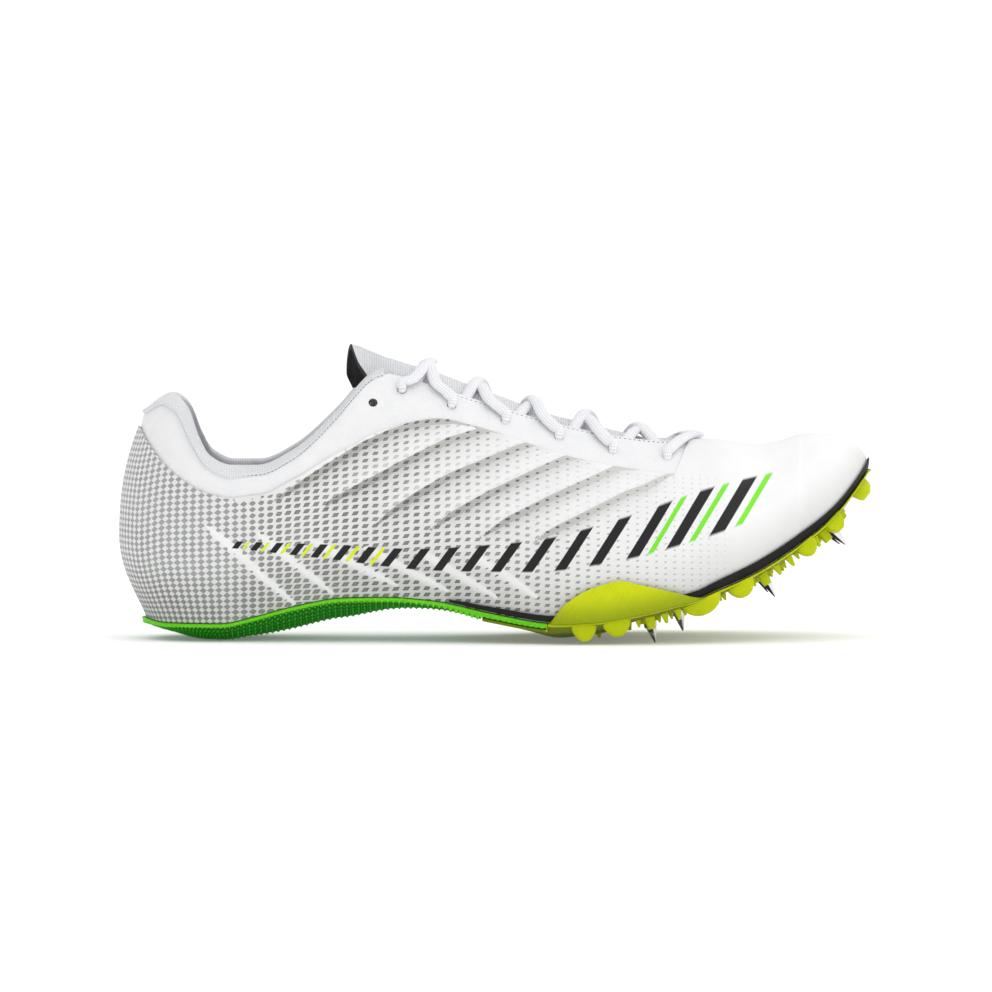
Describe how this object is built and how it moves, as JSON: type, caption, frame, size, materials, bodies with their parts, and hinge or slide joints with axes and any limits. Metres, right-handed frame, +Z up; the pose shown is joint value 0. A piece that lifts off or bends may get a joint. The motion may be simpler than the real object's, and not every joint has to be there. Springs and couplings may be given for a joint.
{
  "type": "track spike shoe",
  "caption": "Right-foot sprint spike shoe with a white and grey mesh upper, green heel sole and a lime forefoot plate with cleats and steel spikes.",
  "frame": {"origin": "on the floor, in the middle of the flat spot under the heel", "axes": "+X towards the toe, +Y towards the inner side of the foot, +Z up"},
  "size_m": [0.2803, 0.0969, 0.1098],
  "materials": {
    "mesh": "printed mesh",
    "knit": "knitted",
    "tongue_sheet": "smooth with a black lining",
    "lace": "braided",
    "insole_foam": "napped",
    "rand_rubber": "satin",
    "sole_rubber": "textured",
    "plate_plastic": "semi-gloss",
    "spike_steel": "polished"
  },
  "bodies": {
    "root": {"upper": "mesh", "collar_binding": "knit", "tongue": "tongue_sheet", "insole": "insole_foam", "rand": "rand_rubber", "heel_sole": "sole_rubber", "spike_plate": "plate_plastic", "spike_rear_outer": "spike_steel", "spike_rear_inner": "spike_steel", "spike_centre": "spike_steel", "spike_middle_outer": "spike_steel", "spike_middle_inner": "spike_steel", "spike_front_outer": "spike_steel", "spike_front_inner": "spike_steel", "lace_cross_1": "lace", "lace_cross_2": "lace", "lace_cross_3": "lace", "lace_cross_4": "lace", "lace_cross_5": "lace", "lace_cross_6": "lace"}
  },
  "joints": []
}
